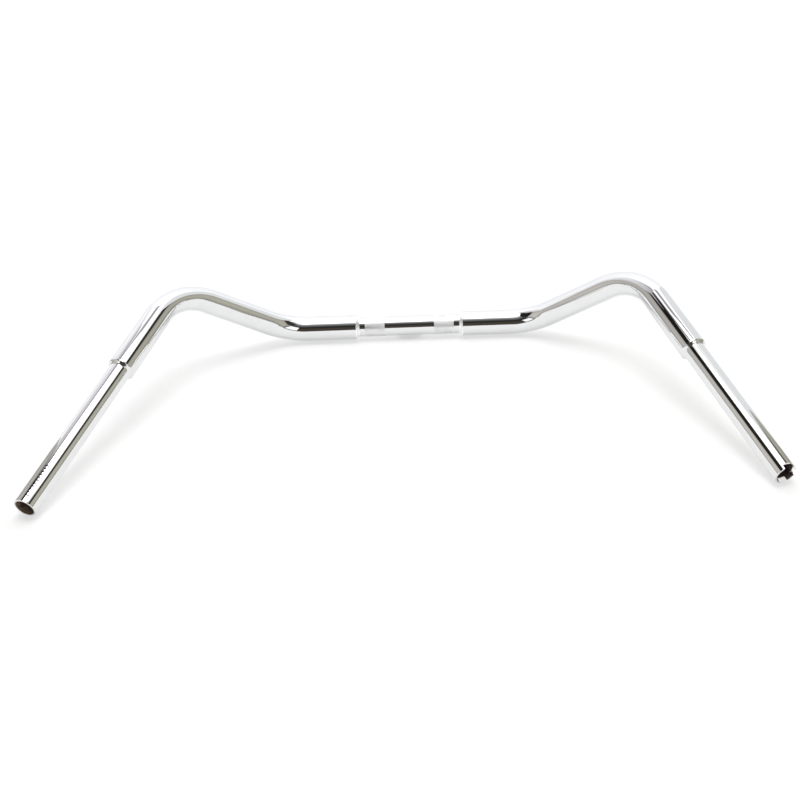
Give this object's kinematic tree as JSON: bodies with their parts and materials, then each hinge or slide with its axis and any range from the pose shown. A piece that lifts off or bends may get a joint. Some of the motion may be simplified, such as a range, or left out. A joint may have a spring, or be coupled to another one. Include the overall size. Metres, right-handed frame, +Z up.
{
  "type": "motorcycle handlebar",
  "caption": "Chromed fat-tube motorcycle handlebar with a low rise, swept-back stepped grip ends, a knurled clamp section and a notched throttle end.",
  "frame": {"origin": "middle of the bar, on the axis of the clamp section", "axes": "+X along the clamp section to the rider's right, -Y towards the rider and the grips, +Z up as the bar lies on a table"},
  "size_m": [0.804, 0.3997, 0.1157],
  "materials": {
    "tube_chrome": "mirror-polished chrome plate",
    "knurled_chrome": "chrome plate over diamond knurling",
    "weld_chrome": "chrome plate over a dressed weld"
  },
  "bodies": {
    "root": {"centre_clamp_tube": "knurled_chrome", "left_bend_tube": "tube_chrome", "right_bend_tube": "tube_chrome", "left_grip_tube": "tube_chrome", "right_grip_tube": "tube_chrome", "left_centre_weld": "weld_chrome", "right_centre_weld": "weld_chrome", "left_grip_weld": "weld_chrome", "right_grip_weld": "weld_chrome"}
  },
  "joints": []
}
